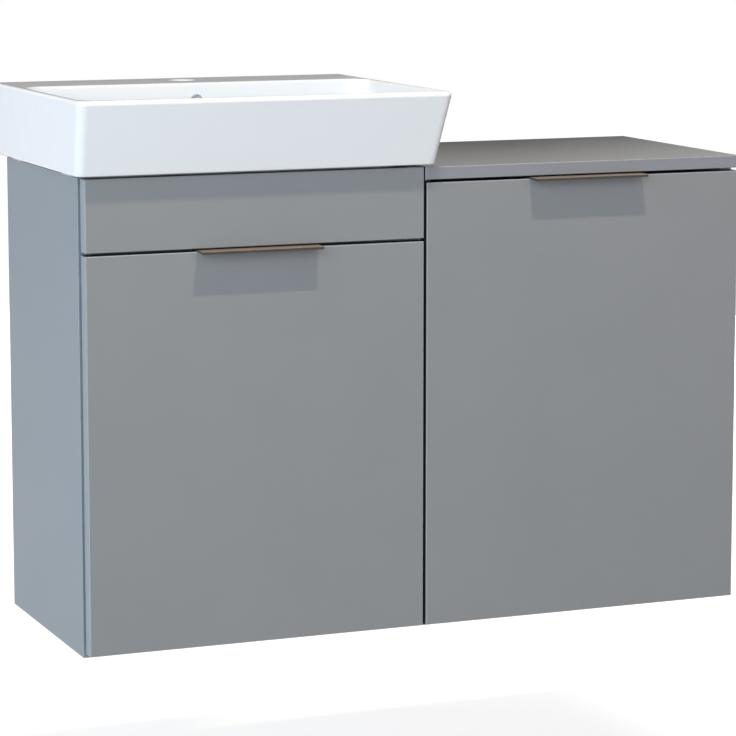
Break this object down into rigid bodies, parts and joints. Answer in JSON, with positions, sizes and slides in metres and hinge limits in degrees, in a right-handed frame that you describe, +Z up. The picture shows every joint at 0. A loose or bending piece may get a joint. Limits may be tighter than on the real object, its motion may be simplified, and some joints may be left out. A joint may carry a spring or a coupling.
{
  "type": "wall-hung vanity unit with basin",
  "caption": "Wall-hung vanity: ceramic basin on a drawer cabinet, beside a laundry cabinet with a tilting front, edge-pull handles and wall rails.",
  "frame": {"origin": "on the wall, at the underside of the cabinets, where the two cabinets meet", "axes": "+X to the right as seen from the room, +Y into the wall, +Z up"},
  "size_m": [0.9186, 0.3877, 0.696],
  "materials": {
    "front_lacquer": "satin lacquer",
    "carcass_lacquer": "satin lacquer",
    "worktop_lacquer": "satin lacquer",
    "inner_board": "melamine",
    "glazed_white": "gloss glaze",
    "handle_metal": "brushed, anodised",
    "zinc_steel": "zinc plated",
    "grey_plastic": "moulded",
    "bin_plastic": "moulded",
    "clear_rubber": "soft"
  },
  "bodies": {
    "cabinets": {"left_side_outer": "carcass_lacquer", "left_side_inner": "carcass_lacquer", "left_bottom_panel": "carcass_lacquer", "left_rear_rail_upper": "carcass_lacquer", "left_rear_rail_lower": "carcass_lacquer", "right_side_inner": "carcass_lacquer", "right_side_outer": "carcass_lacquer", "right_bottom_panel": "carcass_lacquer", "worktop": "worktop_lacquer", "fixed_front_panel": "front_lacquer", "right_back_panel": "inner_board", "basin": "glazed_white", "basin_seat_pads": "clear_rubber", "front_bumpers": "clear_rubber", "hanger_housings": "grey_plastic", "slide_cabinet_member_left": "zinc_steel", "slide_cabinet_member_right": "zinc_steel", "fixed_panel_brackets": "zinc_steel", "hanger_hooks": "zinc_steel", "wall_rail_left": "zinc_steel", "wall_rail_right": "zinc_steel", "hinge_leaf_fixed": "zinc_steel", "hinge_pin": "zinc_steel", "stay_stop_pins": "zinc_steel", "cabinet_connector_sleeves": "zinc_steel"},
    "slide_middle": {"slide_middle_member_left": "zinc_steel", "slide_middle_member_right": "zinc_steel", "slide_bearing_strips": "zinc_steel"},
    "drawer": {"drawer_front": "front_lacquer", "drawer_handle": "handle_metal", "drawer_sub_front": "inner_board", "drawer_side_left": "inner_board", "drawer_side_right": "inner_board", "drawer_back": "inner_board", "drawer_bottom_panel": "inner_board", "slide_drawer_member_left": "zinc_steel", "slide_drawer_member_right": "zinc_steel"},
    "laundry_flap": {"laundry_front": "front_lacquer", "laundry_handle": "handle_metal", "hinge_leaf_moving": "zinc_steel", "stay_inner": "zinc_steel", "stay_outer": "zinc_steel", "laundry_bin": "bin_plastic"}
  },
  "joints": [
    {"name": "drawer_slide", "type": "slide", "parent": "cabinets", "child": "drawer", "axis": [0, -1, 0], "range_m": [0, 0.25]},
    {"name": "slide_middle_travel", "type": "slide", "parent": "cabinets", "child": "slide_middle", "axis": [0, -1, 0], "range_m": [0, 0.125]},
    {"name": "laundry_tilt", "type": "hinge", "parent": "cabinets", "child": "laundry_flap", "pos_m": [0.225, -0.3185, 0.003], "axis": [1, 0, 0], "range_deg": [0, 35]}
  ],
  "couplings": [
    {"joint": "slide_middle_travel", "follows": "drawer_slide", "ratio": 0.5}
  ]
}
